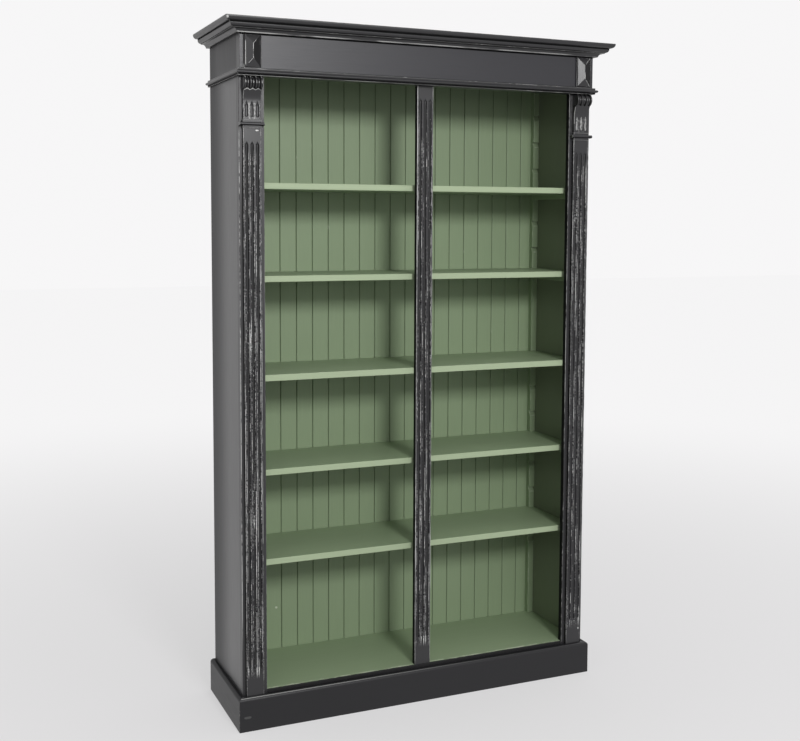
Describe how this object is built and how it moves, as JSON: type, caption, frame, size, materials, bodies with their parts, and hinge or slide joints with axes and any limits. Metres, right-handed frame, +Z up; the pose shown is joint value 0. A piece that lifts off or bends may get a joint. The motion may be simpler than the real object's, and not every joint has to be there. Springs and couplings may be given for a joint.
{
  "type": "tall open bookcase",
  "caption": "Tall open bookcase with fluted pilasters, a fluted centre post, moulded crown and plinth, a boarded back, and shelves on toothed strips.",
  "frame": {"origin": "on the floor, under the middle of the bounding box", "axes": "+Z up, -Y out of the open front, +Y to the boarded back, +X to the bookcase's right as seen from the front"},
  "size_m": [1.35, 0.417, 2.2],
  "materials": {
    "exterior_paint": "worn satin paint",
    "interior_paint": "matt paint"
  },
  "bodies": {
    "carcass": {"architrave_front": "exterior_paint", "architrave_left": "exterior_paint", "architrave_right": "exterior_paint", "back_boards": "interior_paint", "capital_left": "exterior_paint", "capital_right": "exterior_paint", "centre_post": "exterior_paint", "cleat_1_left": "interior_paint", "cleat_1_right": "interior_paint", "cleat_2_left": "interior_paint", "cleat_2_right": "interior_paint", "cleat_3_left": "interior_paint", "cleat_3_right": "interior_paint", "cleat_4_left": "interior_paint", "cleat_4_right": "interior_paint", "collar_left": "exterior_paint", "collar_right": "exterior_paint", "corner_boss_left": "exterior_paint", "corner_boss_right": "exterior_paint", "corner_plate_left": "exterior_paint", "corner_plate_right": "exterior_paint", "crown_front": "exterior_paint", "crown_left": "exterior_paint", "crown_right": "exterior_paint", "floor_board": "interior_paint", "frieze_board": "exterior_paint", "head_rail": "exterior_paint", "middle_shelf": "interior_paint", "pilaster_left": "exterior_paint", "pilaster_right": "exterior_paint", "plinth_back_rail": "exterior_paint", "plinth_front": "exterior_paint", "plinth_left": "exterior_paint", "plinth_right": "exterior_paint", "side_panel_left": "exterior_paint", "side_panel_right": "exterior_paint", "stile_left": "exterior_paint", "stile_right": "exterior_paint", "strip_front_lower_left": "interior_paint", "strip_front_lower_right": "interior_paint", "strip_front_upper_left": "interior_paint", "strip_front_upper_right": "interior_paint", "strip_rear_lower_left": "interior_paint", "strip_rear_lower_right": "interior_paint", "strip_rear_upper_left": "interior_paint", "strip_rear_upper_right": "interior_paint", "top_board": "exterior_paint"},
    "shelf_1_body": {"shelf_1": "interior_paint"},
    "shelf_2_body": {"shelf_2": "interior_paint"},
    "shelf_3_body": {"shelf_3": "interior_paint"},
    "shelf_4_body": {"shelf_4": "interior_paint"}
  },
  "joints": [
    {"name": "shelf_1_lift", "type": "slide", "parent": "carcass", "child": "shelf_1_body", "axis": [0, 0, 1], "range_m": [0, 0.251]},
    {"name": "shelf_2_lift", "type": "slide", "parent": "carcass", "child": "shelf_2_body", "axis": [0, 0, 1], "range_m": [0, 0.282]},
    {"name": "shelf_3_lift", "type": "slide", "parent": "carcass", "child": "shelf_3_body", "axis": [0, 0, 1], "range_m": [0, 0.251]},
    {"name": "shelf_4_lift", "type": "slide", "parent": "carcass", "child": "shelf_4_body", "axis": [0, 0, 1], "range_m": [0, 0.463]}
  ]
}
